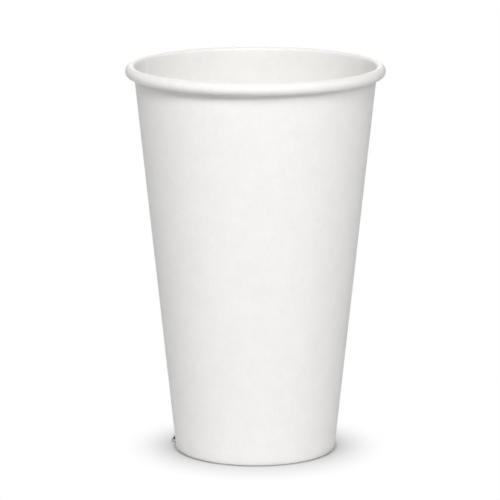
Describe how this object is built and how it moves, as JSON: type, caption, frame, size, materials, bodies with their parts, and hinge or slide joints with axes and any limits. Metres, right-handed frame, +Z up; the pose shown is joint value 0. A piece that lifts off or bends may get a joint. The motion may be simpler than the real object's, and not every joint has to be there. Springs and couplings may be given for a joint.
{
  "type": "paper coffee cup",
  "caption": "Plain white tapered paper cup for hot drinks, with a curled rim, a lapped side seam and a recessed base.",
  "frame": {"origin": "centre of the foot, on the surface that the cup stands on", "axes": "+Z up along the cup's axis, out of its mouth; the side seam is near -X on the +Y side, so it is out of sight from -Y"},
  "size_m": [0.09, 0.09, 0.136],
  "materials": {
    "coated_board": "matt outside, satin film inside"
  },
  "bodies": {
    "root": {"side_wall": "coated_board", "base_disc": "coated_board"}
  },
  "joints": []
}
